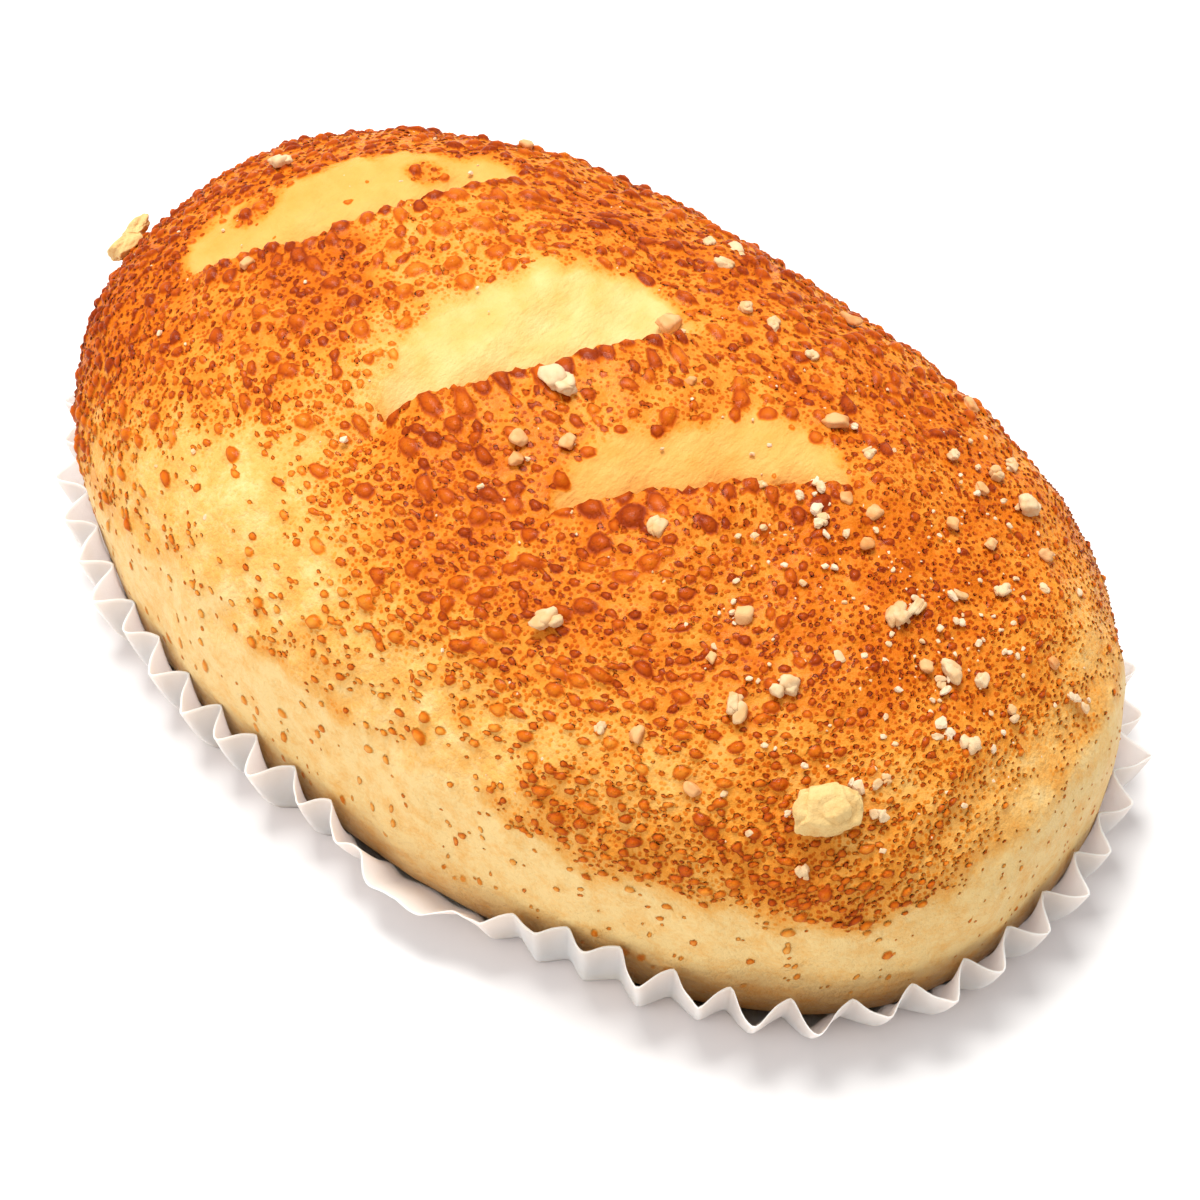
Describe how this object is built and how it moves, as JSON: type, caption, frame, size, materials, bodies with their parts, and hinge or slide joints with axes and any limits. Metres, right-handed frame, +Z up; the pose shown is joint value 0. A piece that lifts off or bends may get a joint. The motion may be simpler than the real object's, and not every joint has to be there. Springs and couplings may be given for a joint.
{
  "type": "curry bun",
  "caption": "Soft oval filled bun with diagonal slashes, a browned blistered crust and crumbs, in a pleated paper baking case.",
  "frame": {"origin": "on the table, under the middle of the whole part's box", "axes": "+X along the bun, towards the end without a slash; +Z up; +Y to the left of +X seen from above"},
  "size_m": [0.149, 0.0968, 0.0452],
  "materials": {
    "crust": null,
    "case_paper": "thin, pale, matt and greaseproof",
    "crumb": null
  },
  "bodies": {
    "root": {"bun": "crust", "paper_case": "case_paper", "crumb_front": "crumb", "crumb_back": "crumb"}
  },
  "joints": []
}
